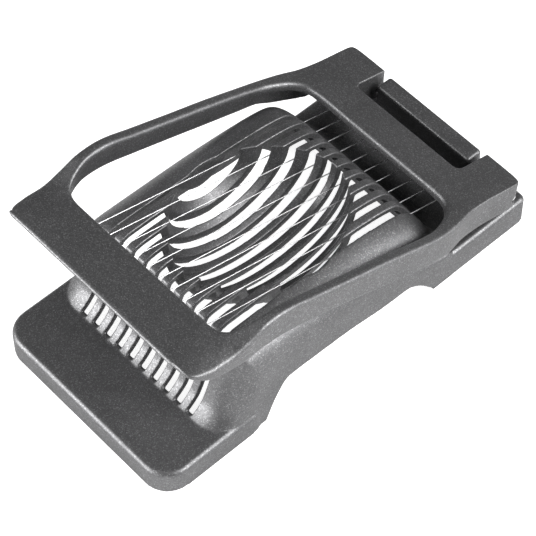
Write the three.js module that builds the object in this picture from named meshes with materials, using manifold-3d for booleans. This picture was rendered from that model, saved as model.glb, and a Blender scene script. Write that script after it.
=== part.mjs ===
// Egg slicer: a die-cast base with a slotted egg cradle, and a hinged lid strung with ten wires.
// Millimetres, +Z up, +Y towards the hinge. The origin is the centre of the base's footprint.
import * as THREE from 'three';
import { mergeVertices } from 'three/addons/utils/BufferGeometryUtils.js';
import Module from 'manifold-3d';

const wasm = await Module();
wasm.setup();

// Wires and the pitch that the whole slicer follows
const wireCount = 10;
const wirePitch = 5;
const wireRadius = 0.22;

// Clearances between pieces, and the overrun of every cut
const seatGap = 0.3;
const sideGap = 0.5;
const overrun = 4;
const weldDistance = 0.0001;
const cutMargin = 0.01;

// Base casting
const baseLength = 142;
const platformWidth = 70.8;
const platformHeight = 8.8;
const platformReach = 39;
const platformCorner = 8.4;
const platformRearCorner = 6;
const platformEdge = 1.6;
const cradleInset = 0.7;
const cradleHeight = 38.1;
const cradleCorner = 9;
const cradleRearCorner = 22;
const cradleOverlap = 11;
const footInset = 0.2;
const footHeight = 10.3;
const footLength = 37.4;
const footCorner = 2.2;
const footFrontCorner = 3.1;
const footEdge = 1.4;
const footShelf = 4.9;
const standEdge = 0.2;
const wall = 2.2;
const crownWall = 1.9;
const bowlWall = 2.8;
const bowlSideWall = 1.8;
const bowlEndWall = 3.6;

// Egg hollow, measured in its own tilted rim plane
const eggLength = 58.1;
const eggWidth = 49.1;
const eggDepth = 18.9;
const eggCentreY = -3.7;
const eggRimDrop = 3;
const eggRimTilt = THREE.MathUtils.degToRad(7.1);
const eggFullnessAcross = 1.925;
const eggFullnessAlong = 2.1;
const eggPlanFullness = 1.68;

// Slots between the bars of the cradle
const slotWidthAtRim = 2.05;
const slotWidthAtBowl = 2.92;
const slotWidthInFront = 2.3;
const slotFrontShare = 0.704;
const slotFloor = 2.6;

// Hinge
const hingeSetback = 6.25;
const hingeHeight = 15.05;
const rodRadius = 1;
const rodInset = 0.8;
const hingeBarWidth = 38.2;
const hingeBarTop = 21.8;
const hingeBarDepth = 6.2;
const hingeBarEdge = 1;
const hingeBarRearLean = 0.5;
const hingeBarGap = 2.2;
const restAngle = THREE.MathUtils.degToRad(15.24);

// Lid frame, in its closed pose, seen from the hinge axis
const lidShortfall = 3.75;
const armThickness = 3.6;
const lidArch = 14;
const lidEdge = 1.1;
const lidPlate = 2.8;
const wireHeight = 0.54;
const notchReach = 13.05;
const notchCorner = 2;
const crossbarReach = 25.4;
const crossbarWall = 2.2;
const cheekWall = 2.4;
const hingeWall = 3.4;
const hingeLean = 2.3;
const skirtLength = 30;
const crossbarTopShare = 0.534;
const cheekShare = 0.906;
const barRearShare = 0.54;
const barFrontShare = 0.37;
const barHollowRearShare = 0.896;
const barHollowFrontShare = 0.985;
const pegRadius = 1.05;
const pegDrop = 0.7;
const rearPegReach = 18.4;
const frontPegInset = 9.4;

// Facets of the curved surfaces
const crownSteps = 16;
const cornerSteps = 4;
const lengthSteps = 20;
const bowlSteps = 6;
const bowlFirstShare = 0.35;
const bowlSides = 28;
const rodSides = 20;
const pegSides = 10;
const wireSides = 6;
const loopSteps = 7;
const lidSteps = 2;
const bottomRoundSteps = 2;
const topRoundSteps = 4;

const frontY = -baseLength / 2;
const rearY = baseLength / 2;
const hingeY = rearY - hingeSetback;
const footFront = rearY - footLength;
const cradleRear = footFront + cradleOverlap;
const cradleWidth = platformWidth - cradleInset * 2;
const footWidth = cradleWidth - footInset * 2;
const lidReach = baseLength - hingeSetback - lidShortfall;
const frontPegReach = lidReach - frontPegInset;
const armInner = cradleWidth / 2 + sideGap;
const lidHalf = armInner + armThickness;
const cheekHalf = lidHalf * cheekShare;
const cheekInner = cheekHalf - cheekWall;
const rodLength = 2 * (cheekHalf - rodInset);
const notchHalf = hingeBarWidth / 2 + hingeBarGap;
const lidPlateTop = lidArch * crossbarTopShare;
const slotRearFloor = footHeight + slotFloor;
const eggRimHeight = cradleHeight - eggRimDrop;
const loopRadius = pegRadius + seatGap + wireRadius;

// Mesh helpers: every piece is a list of rings joined into one closed surface

function solidFromGeometry(geometry) {
  const plain = geometry.clone();
  plain.deleteAttribute('normal');
  plain.deleteAttribute('uv');
  const merged = mergeVertices(plain, weldDistance);
  const mesh = new wasm.Mesh({
    numProp: 3,
    vertProperties: new Float32Array(merged.attributes.position.array),
    triVerts: new Uint32Array(merged.index.array),
  });
  return new wasm.Manifold(mesh);
}

function signedVolume(points, faces) {
  let total = 0;
  for (const [a, b, c] of faces) {
    total += points[a].dot(new THREE.Vector3().crossVectors(points[b], points[c]));
  }
  return total;
}

function solidFromFaces(points, faces) {
  const outward = signedVolume(points, faces) > 0;
  const indices = faces.flatMap(([a, b, c]) => (outward ? [a, b, c] : [a, c, b]));
  const geometry = new THREE.BufferGeometry();
  const positions = points.flatMap((point) => point.toArray());
  geometry.setAttribute('position', new THREE.Float32BufferAttribute(positions, 3));
  geometry.setIndex(indices);
  return solidFromGeometry(geometry);
}

function bandFaces(ringA, ringB, sides) {
  const faces = [];
  for (let k = 0; k < sides; k += 1) {
    const next = (k + 1) % sides;
    faces.push([ringA + k, ringA + next, ringB + next]);
    faces.push([ringA + k, ringB + next, ringB + k]);
  }
  return faces;
}

// A loft through rings of equal length, its two ends closed by fans
function loft(rings) {
  const sides = rings[0].length;
  const points = rings.flat();
  const faces = [];
  for (let r = 0; r + 1 < rings.length; r += 1) {
    faces.push(...bandFaces(r * sides, (r + 1) * sides, sides));
  }
  const middleOf = (ring) => ring.reduce((sum, p) => sum.add(p), new THREE.Vector3()).divideScalar(sides);
  const first = points.length;
  points.push(middleOf(rings[0]), middleOf(rings[rings.length - 1]));
  const lastRing = (rings.length - 1) * sides;
  for (let k = 0; k < sides; k += 1) {
    const next = (k + 1) % sides;
    faces.push([first, next, k]);
    faces.push([first + 1, lastRing + k, lastRing + next]);
  }
  return solidFromFaces(points, faces);
}

// A loft that runs round and meets its first ring again
function loopLoft(rings) {
  const sides = rings[0].length;
  const faces = rings.flatMap((_, r) => bandFaces(r * sides, ((r + 1) % rings.length) * sides, sides));
  return solidFromFaces(rings.flat(), faces);
}

function meshFromSolid(solid, name, look) {
  const mesh = solid.getMesh();
  const geometry = new THREE.BufferGeometry();
  geometry.setAttribute('position', new THREE.BufferAttribute(new Float32Array(mesh.vertProperties), 3));
  geometry.setIndex(new THREE.BufferAttribute(new Uint32Array(mesh.triVerts), 1));
  geometry.computeVertexNormals();
  const result = new THREE.Mesh(geometry, new THREE.MeshStandardMaterial(look));
  result.name = name;
  return result;
}

// Outline helpers

function roundedRectangle(halfWidth, front, rear, frontRadius, rearRadius) {
  const corners = [
    [halfWidth, front, frontRadius, -Math.PI / 2],
    [halfWidth, rear, rearRadius, 0],
    [-halfWidth, rear, rearRadius, Math.PI / 2],
    [-halfWidth, front, frontRadius, Math.PI],
  ];
  const points = [];
  for (const [x, y, radius, start] of corners) {
    const centreX = x - Math.sign(x) * radius;
    const centreY = y + (y === front ? radius : -radius);
    for (let k = 0; k <= cornerSteps; k += 1) {
      const angle = start + (k / cornerSteps) * (Math.PI / 2);
      points.push(new THREE.Vector2(centreX + radius * Math.cos(angle), centreY + radius * Math.sin(angle)));
    }
  }
  return points;
}

const atHeight = (outline, z) => outline.map((p) => new THREE.Vector3(p.x, p.y, z));
const atWidth = (outline, x) => outline.map((p) => new THREE.Vector3(x, p.x, p.y));

function extrudedAlongX(outline, halfWidth) {
  const shape = new THREE.Shape(outline);
  const geometry = new THREE.ExtrudeGeometry(shape, { depth: halfWidth * 2, bevelEnabled: false });
  geometry.translate(0, 0, -halfWidth);
  const turn = new THREE.Matrix4().makeBasis(
    new THREE.Vector3(0, 1, 0),
    new THREE.Vector3(0, 0, 1),
    new THREE.Vector3(1, 0, 0),
  );
  geometry.applyMatrix4(turn);
  return solidFromGeometry(geometry);
}

function blockSolid(minX, maxX, minY, maxY, minZ, maxZ) {
  const geometry = new THREE.BoxGeometry(maxX - minX, maxY - minY, maxZ - minZ);
  geometry.translate((minX + maxX) / 2, (minY + maxY) / 2, (minZ + maxZ) / 2);
  return solidFromGeometry(geometry);
}

// Shares of half the base's length and of the cradle's height, from the front to the rear
const crownShares = [
  [-0.86, 0.893], [-0.577, 0.925], [-0.542, 0.966], [-0.507, 0.99], [-0.451, 0.996], [-0.249, 0.985],
  [-0.068, 0.974], [0.117, 0.946], [0.275, 0.906], [0.366, 0.867], [0.417, 0.822], [0.455, 0.745],
  [0.487, 0.64], [0.513, 0.551], [0.538, 0.462], [0.561, 0.383], [0.582, 0.325], [0.611, 0.289],
  [0.655, 0.265],
];
const wallTopShare = 0.5;
const crownFullness = 3.6;

// Shares of half the base's length and of the cradle's height, up the front wall
const frontWallShares = [
  [-0.738, -0.049], [-0.738, 0.219], [-0.722, 0.236], [-0.697, 0.27], [-0.675, 0.31], [-0.654, 0.367],
  [-0.618, 0.532], [-0.587, 0.709], [-0.558, 0.887], [-0.53, 1.063],
];
const rearCornerBlendShare = 1.6;

function sharesToPath(shares, lengthUnit, heightUnit) {
  return shares.map(([y, z]) => new THREE.Vector2(y * lengthUnit, z * heightUnit));
}

// Moves a path sideways, to the right of its direction of travel
function offsetPath(path, distance) {
  return path.map((point, k) => {
    const before = path[Math.max(k - 1, 0)];
    const after = path[Math.min(k + 1, path.length - 1)];
    const along = after.clone().sub(before).normalize();
    return new THREE.Vector2(point.x + along.y * distance, point.y - along.x * distance);
  });
}

const crownPath = new THREE.SplineCurve(sharesToPath(crownShares, rearY, cradleHeight)).getPoints(lengthSteps);
const frontWallPath = sharesToPath(frontWallShares, rearY, cradleHeight);

// Cross-section of the cradle block: straight side walls under a full, rounded crown
function crownRing(y, top, halfWidth) {
  const wallTop = top * wallTopShare;
  const points = [new THREE.Vector3(-halfWidth, y, -overrun)];
  for (let k = 0; k <= crownSteps; k += 1) {
    const angle = Math.PI - (k / crownSteps) * Math.PI;
    const across = Math.sign(Math.cos(angle)) * Math.abs(Math.cos(angle)) ** (2 / crownFullness);
    const up = Math.max(Math.sin(angle), 0) ** (2 / crownFullness);
    points.push(new THREE.Vector3(halfWidth * across, y, wallTop + (top - wallTop) * up));
  }
  points.push(new THREE.Vector3(halfWidth, y, -overrun));
  return points;
}

// The cradle block, inset by a distance for its hollow underside
function cradleBlock(inset) {
  const halfWidth = cradleWidth / 2 - inset;
  const crown = offsetPath(crownPath, inset).map((p) => crownRing(p.x, p.y, halfWidth + cutMargin));
  const rear = cradleRear - inset;
  const wallRings = offsetPath(frontWallPath, inset).map((p) => {
    const blend = THREE.MathUtils.smoothstep(p.y, footHeight, footHeight * rearCornerBlendShare);
    const rearCorner = THREE.MathUtils.lerp(cradleCorner / 2, cradleRearCorner, blend) - inset;
    return atHeight(roundedRectangle(halfWidth, p.x, rear, cradleCorner, rearCorner), p.y);
  });
  return loft(crown).intersect(loft(wallRings));
}

// A low block with a rounded top edge, for the platform and the foot
function lowBlock(width, front, rear, height, frontRadius, rearRadius, edge) {
  const rings = [[0, standEdge], [standEdge, 0], [height - edge, 0]];
  for (let k = 1; k <= 3; k += 1) {
    const angle = (k / 3) * (Math.PI / 2);
    rings.push([height - edge + edge * Math.sin(angle), edge * (1 - Math.cos(angle))]);
  }
  return loft(rings.map(([z, inset]) => {
    const outline = roundedRectangle(
      width / 2 - inset, front + inset, rear - inset, frontRadius - inset, rearRadius - inset,
    );
    return atHeight(outline, z);
  }));
}

// The egg hollow: rings that shrink down to the bottom, then a straight mouth above the rim
function eggBowl(grow, growAcross, growAlong) {
  const rings = [];
  const halfWidth = eggWidth / 2 + growAcross;
  const halfLength = eggLength / 2 + growAlong;
  const planShare = (share) => Math.sign(share) * Math.abs(share) ** (2 / eggPlanFullness);
  const ringAt = (acrossShare, alongShare, z) => {
    const ring = [];
    for (let k = 0; k < bowlSides; k += 1) {
      const angle = (k / bowlSides) * 2 * Math.PI;
      const x = halfWidth * acrossShare * planShare(Math.cos(angle));
      const y = halfLength * alongShare * planShare(Math.sin(angle));
      ring.push(new THREE.Vector3(x, y, z));
    }
    return ring;
  };
  for (let k = 0; k <= bowlSteps; k += 1) {
    const depthShare = Math.cos(((k + bowlFirstShare) / (bowlSteps + bowlFirstShare)) * (Math.PI / 2));
    const acrossShare = (1 - depthShare ** eggFullnessAcross) ** (1 / eggFullnessAcross);
    const alongShare = (1 - depthShare ** eggFullnessAlong) ** (1 / eggFullnessAlong);
    rings.push(ringAt(acrossShare, alongShare, -(eggDepth + grow) * depthShare));
  }
  rings.push(ringAt(1, 1, cradleHeight / 2));
  const turned = rings.map((ring) => ring.map((p) => p
    .applyAxisAngle(new THREE.Vector3(1, 0, 0), -eggRimTilt)
    .add(new THREE.Vector3(0, eggCentreY, eggRimHeight))));
  return loft(turned);
}

// Shares of half the base's length and of the foot's height, along the arch under the side walls
const archShares = [
  [-0.474, -0.4], [-0.459, 0], [-0.439, 0.33], [-0.417, 0.67], [-0.385, 1.04], [-0.357, 1.27],
  [-0.32, 1.35], [-0.17, 1.32], [0, 1.25], [0.16, 1.09], [0.3, 1.05], [0.342, 0.94], [0.389, 0.68],
  [0.438, 0.28], [0.462, 0.04], [0.475, -0.4],
];

function slotFin(x) {
  const half = (width) => width / 2;
  const fin = (front, rear, bottom, lowWidth, highWidth) => {
    const ringAt = (y) => [
      new THREE.Vector3(x - half(lowWidth), y, bottom),
      new THREE.Vector3(x + half(lowWidth), y, bottom),
      new THREE.Vector3(x + half(highWidth), y, cradleHeight + overrun),
      new THREE.Vector3(x - half(highWidth), y, cradleHeight + overrun),
    ];
    return loft([ringAt(front), ringAt(rear)]);
  };
  const crest = eggCentreY - eggLength / 2;
  const middle = footFront;
  const frontFin = fin(frontY * slotFrontShare, crest, -overrun, slotWidthInFront, slotWidthInFront);
  const bowlFin = fin(crest - overrun, middle, slotRearFloor, slotWidthAtBowl, slotWidthAtRim);
  const rearFin = fin(middle - overrun, rearY - footLength / 2, slotRearFloor, slotWidthAtBowl, slotWidthAtRim);
  return frontFin.add(bowlFin).add(rearFin);
}

function rodSolid(radius, halfLength) {
  const geometry = new THREE.CylinderGeometry(radius, radius, halfLength * 2, rodSides);
  geometry.rotateZ(Math.PI / 2);
  return solidFromGeometry(geometry);
}

const wirePlaces = Array.from({ length: wireCount }, (_, i) => (i - (wireCount - 1) / 2) * wirePitch);

function buildBase() {
  const platformRear = frontY + platformReach;
  const platform = lowBlock(
    platformWidth, frontY, platformRear, platformHeight, platformCorner, platformRearCorner, platformEdge,
  );
  const foot = lowBlock(footWidth, footFront, rearY, footHeight, footFrontCorner, footCorner, footEdge);
  const outside = cradleBlock(0).add(platform).add(foot).add(hingeBar());

  const underPlatform = lowBlock(
    platformWidth - wall * 2, frontY + wall, platformRear - wall, platformHeight - wall,
    platformCorner - wall, platformRearCorner - wall, platformEdge / 2,
  );
  const underFoot = lowBlock(
    footWidth - wall * 2, footFront + wall, rearY - wall, footHeight - wall,
    footFrontCorner - wall, footCorner - wall, standEdge,
  );
  const openings = underPlatform.add(underFoot);
  const clearBelow = blockSolid(
    -platformWidth, platformWidth, frontY - overrun, rearY + overrun, -overrun * 2, 0,
  );
  const footTop = blockSolid(
    -platformWidth, platformWidth, footFront + footShelf, rearY, -overrun, footHeight,
  );
  const cavity = cradleBlock(crownWall).subtract(footTop).add(openings);
  const shell = outside.subtract(cavity.subtract(eggBowl(bowlWall, bowlSideWall, bowlEndWall)));
  const arch = extrudedAlongX(sharesToPath(archShares, rearY, footHeight), platformWidth);
  const slots = wirePlaces.map(slotFin);
  const hole = rodSolid(rodRadius + seatGap, rodLength / 2).translate([0, hingeY, hingeHeight]);
  return shell.subtract(eggBowl(0, 0, 0)).subtract(arch).subtract(clearBelow)
    .subtract(wasm.Manifold.union(slots)).subtract(hole);
}

// The share of an edge's size that is left at the middle of its rounding
const roundingShare = 0.3;

// The upright bar at the rear that holds the middle of the hinge rod
function hingeBar() {
  const rear = hingeY + rodRadius + seatGap + wall / 2;
  const front = rear - hingeBarDepth;
  const floor = footHeight - wall;
  const top = hingeBarTop;
  const edge = hingeBarEdge;
  const bend = hingeBarEdge * roundingShare;
  const topRear = rear - hingeBarRearLean;
  const profile = (inset) => [
    [front + inset - edge, floor],
    [front + inset, hingeHeight],
    [front + inset, top - edge - inset],
    [front + bend + inset, top - bend - inset],
    [front + edge + inset, top - inset],
    [topRear - edge - inset, top - inset],
    [topRear - bend - inset, top - bend - inset],
    [topRear - inset, top - edge - inset],
    [rear - inset, hingeHeight],
    [rear - inset, floor],
  ].map(([y, z]) => new THREE.Vector2(y, z));
  const half = hingeBarWidth / 2;
  return loft([
    atWidth(profile(edge), -half),
    atWidth(profile(bend), -half + bend),
    atWidth(profile(0), -half + edge),
    atWidth(profile(0), half - edge),
    atWidth(profile(bend), half - bend),
    atWidth(profile(edge), half),
  ]);
}

// Stations round the right half of the lid, from the middle of the crossbar to the middle of the
// front bar. Each row holds inner x and reach, outer x and reach, the heights of the inner and outer
// top edges, and of the inner and outer bottom edges. They are shares of half the opening's width,
// half the lid's width, the lid's reach and its arch. The last one is the rounding of the outer top
// edge, as a share of the lid's edge.
const lidStationShares = [
  [0, 0.192, 0, 0.001, 0.534, 0.534, -0.22, -0.22, 0.5],
  [0.37, 0.192, 0.443, 0.001, 0.534, 0.534, -0.22, -0.22, 0.5],
  [0.625, 0.192, 0.801, 0.001, 0.534, 0.534, -0.22, -0.22, 0.5],
  [0.71, 0.193, 0.886, 0.005, 0.534, 0.534, -0.22, -0.22, 0.5],
  [0.779, 0.196, 0.906, 0.02, 0.534, 0.534, -0.22, -0.22, 0.5],
  [0.847, 0.206, 0.907, 0.105, 0.534, 0.534, -0.22, -0.23, 0.8],
  [0.909, 0.226, 0.923, 0.169, 0.534, 0.534, -0.1, -0.26, 1],
  [0.958, 0.256, 0.967, 0.226, 0.534, 0.534, 0.05, -0.29, 1.1],
  [0.986, 0.287, 0.993, 0.275, 0.54, 0.54, 0.12, -0.2, 1.2],
  [1, 0.34, 1, 0.34, 0.6, 0.6, 0.13, -0.16, 1.2],
  [1, 0.453, 1, 0.453, 0.73, 0.73, 0.21, -0.01, 1.2],
  [1, 0.559, 1, 0.559, 0.82, 0.82, 0.29, 0.13, 1.2],
  [1, 0.666, 1, 0.666, 0.92, 0.92, 0.37, 0.24, 1.2],
  [1, 0.749, 1, 0.756, 1, 1, 0.42, 0.28, 1.2],
  [0.992, 0.806, 1, 0.817, 0.94, 0.87, 0.36, 0.2, 1.3],
  [0.972, 0.836, 1, 0.859, 0.8, 0.61, 0.24, 0.08, 1.3],
  [0.926, 0.86, 0.997, 0.9, 0.66, 0.41, 0.12, 0.06, 1.3],
  [0.857, 0.874, 0.99, 0.953, 0.57, 0.34, 0.08, 0.1, 1.2],
  [0.784, 0.878, 0.948, 0.991, 0.54, 0.34, 0.08, 0.24, 1],
  [0.682, 0.879, 0.846, 1, 0.54, 0.36, 0.08, 0.26, 1],
  [0.34, 0.879, 0.417, 1, 0.54, 0.37, 0.08, 0.26, 1],
  [0, 0.879, 0, 1, 0.54, 0.37, 0.08, 0.26, 1],
];

// Smooth rows between the stations, with knots at the distance run round the frame
function smoothRows(rows, knots, steps) {
  const slopes = rows.map((row, i) => {
    const before = Math.max(i - 1, 0);
    const after = Math.min(i + 1, rows.length - 1);
    return row.map((_, k) => (rows[after][k] - rows[before][k]) / (knots[after] - knots[before]));
  });
  const result = [];
  for (let i = 0; i + 1 < rows.length; i += 1) {
    const span = knots[i + 1] - knots[i];
    for (let step = 0; step < steps; step += 1) {
      const t = step / steps;
      const a = 2 * t ** 3 - 3 * t ** 2 + 1;
      const b = t ** 3 - 2 * t ** 2 + t;
      const c = 3 * t ** 2 - 2 * t ** 3;
      const d = t ** 3 - t ** 2;
      result.push(rows[i].map((value, k) => a * value + b * span * slopes[i][k]
        + c * rows[i + 1][k] + d * span * slopes[i + 1][k]));
    }
  }
  result.push(rows[rows.length - 1]);
  return result;
}

function lidRows() {
  const rows = lidStationShares.map(([xi, yi, xo, yo, ti, to, bi, bo, edge]) => [
    xi * armInner, -yi * lidReach, xo * lidHalf, -yo * lidReach,
    ti * lidArch, to * lidArch, bi * lidArch, bo * lidArch, edge * lidEdge,
  ]);
  const knots = [0];
  for (let i = 1; i < rows.length; i += 1) {
    const [a, b] = [rows[i - 1], rows[i]];
    const inner = Math.hypot(b[0] - a[0], b[1] - a[1]);
    const outer = Math.hypot(b[2] - a[2], b[3] - a[3]);
    knots.push(knots[i - 1] + (inner + outer) / 2);
  }
  const right = smoothRows(rows, knots, lidSteps);
  const left = right.slice(1, -1).reverse().map(([xi, yi, xo, yo, ...rest]) => [-xi, yi, -xo, yo, ...rest]);
  return [...right, ...left];
}

// The rounding of a section's bottom and inner top edges as shares of the lid's edge, and the most
// that a rounding takes of a side
const bottomEdgeShare = 1;
const innerTopEdgeShare = 1.6;
const sideShare = 0.42;

// The four-sided section of the lid at one station, with its corners rounded
function lidRing([xi, yi, xo, yo, topInner, topOuter, bottomInner, bottomOuter, outerTopEdge]) {
  const lean = hingeLean * Math.max(0, 1 + yo / hingeWall);
  const bottomEdge = bottomEdgeShare * lidEdge;
  const corners = [
    { at: new THREE.Vector3(xi, yi, bottomInner), edge: bottomEdge, steps: bottomRoundSteps },
    { at: new THREE.Vector3(xo, yo + lean, bottomOuter), edge: bottomEdge, steps: bottomRoundSteps },
    { at: new THREE.Vector3(xo, yo, topOuter), edge: outerTopEdge, steps: topRoundSteps },
    { at: new THREE.Vector3(xi, yi, topInner), edge: innerTopEdgeShare * lidEdge, steps: topRoundSteps },
  ];
  return corners.flatMap(({ at, edge, steps }, k) => {
    const toLast = corners[(k + 3) % 4].at.clone().sub(at);
    const toNext = corners[(k + 1) % 4].at.clone().sub(at);
    const radius = Math.min(edge, sideShare * toLast.length(), sideShare * toNext.length());
    const curve = new THREE.QuadraticBezierCurve3(
      at.clone().addScaledVector(toLast.normalize(), radius),
      at,
      at.clone().addScaledVector(toNext.normalize(), radius),
    );
    return curve.getPoints(steps);
  });
}

function pegSolid(x, reach, bottom, top) {
  const geometry = new THREE.CylinderGeometry(pegRadius, pegRadius, top - bottom, pegSides);
  geometry.rotateX(Math.PI / 2);
  geometry.translate(x, -reach, (top + bottom) / 2);
  return solidFromGeometry(geometry);
}

function buildLid() {
  const frame = loopLoft(lidRows().map(lidRing));
  const notch = loft([
    atHeight(roundedRectangle(notchHalf, -notchReach, overrun * 2, notchCorner, notchCorner), -lidArch),
    atHeight(roundedRectangle(notchHalf, -notchReach, overrun * 2, notchCorner, notchCorner), lidArch * 2),
  ]);
  const roof = lidPlateTop - lidPlate;
  const skirtInner = lidHalf - cheekWall;
  const belowCrossbar = blockSolid(
    -cheekInner, cheekInner, -crossbarReach - overrun, -notchReach - crossbarWall, -lidArch, roof,
  );
  const skirtRelief = loft([
    atHeight(skirtOutline(cheekInner, skirtInner), -lidArch),
    atHeight(skirtOutline(cheekInner, skirtInner), roof),
  ]);
  const cheekInside = [-1, 1].map((side) => {
    const near = side * (notchHalf + crossbarWall);
    const far = side * cheekInner;
    return blockSolid(
      Math.min(near, far), Math.max(near, far), -notchReach - crossbarWall - wall, -hingeWall, -lidArch, roof,
    );
  });
  const barInner = wirePitch * wireCount / 2 + loopRadius;
  const wedgeRing = (y, top) => [
    new THREE.Vector3(-barInner, y, -lidArch),
    new THREE.Vector3(barInner, y, -lidArch),
    new THREE.Vector3(barInner, y, top),
    new THREE.Vector3(-barInner, y, top),
  ];
  const barRearTop = barRearShare * lidArch - lidPlate;
  const barFrontTop = barFrontShare * lidArch - wall;
  const belowBar = loft([
    wedgeRing(-barHollowRearShare * lidReach, barRearTop),
    wedgeRing(-barHollowFrontShare * lidReach, barFrontTop),
  ]);
  const pegs = wirePlaces.flatMap((x) => [
    pegSolid(x - loopRadius, rearPegReach, wireHeight - pegDrop, roof + wall / 2),
    pegSolid(x - loopRadius, frontPegReach, wireHeight - pegDrop, barRearTop + wall / 4),
  ]);
  const hole = rodSolid(rodRadius + seatGap, lidHalf);
  const cavities = wasm.Manifold.union([notch, belowCrossbar, skirtRelief, ...cheekInside, belowBar]);
  return frame.subtract(cavities).subtract(hole).add(wasm.Manifold.union(pegs));
}

// The space between the skirts of the lid, that the rear of the cradle fills when it is closed
const skirtShares = [[0, 0.08], [0.14, 0.1], [0.3, 0.42], [0.46, 0.82], [0.62, 0.98], [1, 1]];

function skirtOutline(rearHalf, frontHalf) {
  const rear = -notchReach - crossbarWall;
  const right = skirtShares.map(([along, out]) =>
    new THREE.Vector2(rearHalf + (frontHalf - rearHalf) * out, rear - along * skirtLength));
  const left = right.map((p) => new THREE.Vector2(-p.x, p.y)).reverse();
  return [...right, ...left];
}

// A wire: a loop round its rear peg, the straight cutting length, and a loop round its front peg
function buildWire(x) {
  const path = [];
  const loopPoint = (reach, angle) => {
    const across = x - loopRadius + loopRadius * Math.cos(angle);
    path.push([new THREE.Vector2(across, -reach + loopRadius * Math.sin(angle)), angle]);
  };
  for (let k = 0; k <= loopSteps; k += 1) {
    loopPoint(rearPegReach, Math.PI * 1.5 * (1 - k / loopSteps));
  }
  for (let k = 0; k <= loopSteps; k += 1) {
    loopPoint(frontPegReach, -Math.PI * 1.5 * (k / loopSteps));
  }
  const rings = path.map(([centre, angle]) => {
    const ring = [];
    for (let k = 0; k < wireSides; k += 1) {
      const turn = (k / wireSides) * 2 * Math.PI;
      const out = wireRadius * Math.cos(turn);
      const up = wireRadius * Math.sin(turn);
      ring.push(new THREE.Vector3(centre.x + out * Math.cos(angle), centre.y + out * Math.sin(angle), up));
    }
    return ring;
  });
  return loft(rings).translate([0, 0, wireHeight]);
}

// Finishes: dark sparkling die-cast metal, bright bare steel
const castLook = { color: 0x4d4d4f, roughness: 0.55, metalness: 0.6 };
const steelLook = { color: 0xc4c6c8, roughness: 0.25, metalness: 1 };

const slicer = new THREE.Group();
slicer.add(meshFromSolid(buildBase(), 'base_casting', castLook));

const rod = meshFromSolid(rodSolid(rodRadius, rodLength / 2), 'hinge_rod', steelLook);
rod.position.set(0, hingeY, hingeHeight);
slicer.add(rod);

const lid = new THREE.Group();
lid.position.set(0, hingeY, hingeHeight);
lid.rotation.x = -restAngle;
lid.add(meshFromSolid(buildLid(), 'lid_frame', castLook));
wirePlaces.forEach((x, i) => {
  lid.add(meshFromSolid(buildWire(x), `wire_${String(i + 1).padStart(2, '0')}`, steelLook));
});
slicer.add(lid);

export default slicer;
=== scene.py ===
# %% [markdown]
# # An egg slicer with a wire-strung lid
#
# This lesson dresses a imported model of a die-cast egg slicer. The frame that is loaded first holds
# the solids and the hinge. Everything that is made here stands in the same place, in metres.

import math

import bmesh
import bpy
from mathutils import Matrix, Vector


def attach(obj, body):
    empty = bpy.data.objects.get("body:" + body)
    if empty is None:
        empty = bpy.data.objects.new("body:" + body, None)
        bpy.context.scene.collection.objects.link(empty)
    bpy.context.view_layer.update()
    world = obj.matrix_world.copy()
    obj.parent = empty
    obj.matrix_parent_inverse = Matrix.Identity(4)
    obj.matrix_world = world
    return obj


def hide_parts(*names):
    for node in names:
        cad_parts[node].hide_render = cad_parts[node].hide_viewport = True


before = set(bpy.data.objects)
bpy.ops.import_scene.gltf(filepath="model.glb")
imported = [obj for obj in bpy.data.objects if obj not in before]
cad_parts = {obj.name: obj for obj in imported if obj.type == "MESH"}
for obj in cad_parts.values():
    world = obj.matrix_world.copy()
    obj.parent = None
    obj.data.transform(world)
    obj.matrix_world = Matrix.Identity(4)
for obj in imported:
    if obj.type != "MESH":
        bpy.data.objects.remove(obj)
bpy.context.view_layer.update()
MM = 0.001

# %% [markdown]
# ## The camera
#
# The photograph was taken with a long lens from the front right and well above. The camera could be
# placed by eye, but a long lens shows small errors at once. So its aim, turn and distance are
# written as numbers that were fitted to the evenly spaced wires and the straight edges.

# %% Place the camera
AIM = Vector((-3.586, 2.8, 0)) * MM
DISTANCE = 711.75 * MM
AZIMUTH = math.radians(47.8168)
ELEVATION = math.radians(54.8265)
ROLL = math.radians(-0.3797)
LENS_IN_PIXELS = 2435.968
PICTURE_PIXELS = 536

back = Vector((math.sin(AZIMUTH) * math.cos(ELEVATION),
               -math.cos(AZIMUTH) * math.cos(ELEVATION),
               math.sin(ELEVATION)))
level_right = Vector((math.cos(AZIMUTH), math.sin(AZIMUTH), 0))
level_up = back.cross(level_right)
right = level_right * math.cos(ROLL) + level_up * math.sin(ROLL)
up = level_up * math.cos(ROLL) - level_right * math.sin(ROLL)

lens = bpy.data.cameras.new("photo_camera")
lens.sensor_width = 36
lens.lens = LENS_IN_PIXELS / PICTURE_PIXELS * lens.sensor_width
camera = bpy.data.objects.new("photo_camera", lens)
bpy.context.scene.collection.objects.link(camera)
turn = Matrix((right, up, back)).transposed().to_4x4()
camera.matrix_world = Matrix.Translation(AIM + back * DISTANCE) @ turn
bpy.context.scene.camera = camera
print("lens", round(lens.lens, 1), "mm at", round(DISTANCE / MM), "mm")

# %% [markdown]
# ## Light and floor
#
# The real slicer lies on white, lit from low in front and from the right rear, so that fronts and
# rounded right edges are bright and level faces dark. Metal shows what it mirrors, so a pale floor
# does as much as the lamps. The floor is a plain plane. A little light of its own, which only the
# camera, mirror rays and rays through glass see, lifts it to white. Mirror rays see less of it, or
# the upright sides would come out too pale.

# %% Floor, world and lamps
FLOOR_SIZE = 6.0
bpy.ops.object.select_all(action="DESELECT")
bpy.ops.mesh.primitive_plane_add(size=FLOOR_SIZE, location=(0, 0, -0.2 * MM))
floor = bpy.context.object
floor.name = "floor"


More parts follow.
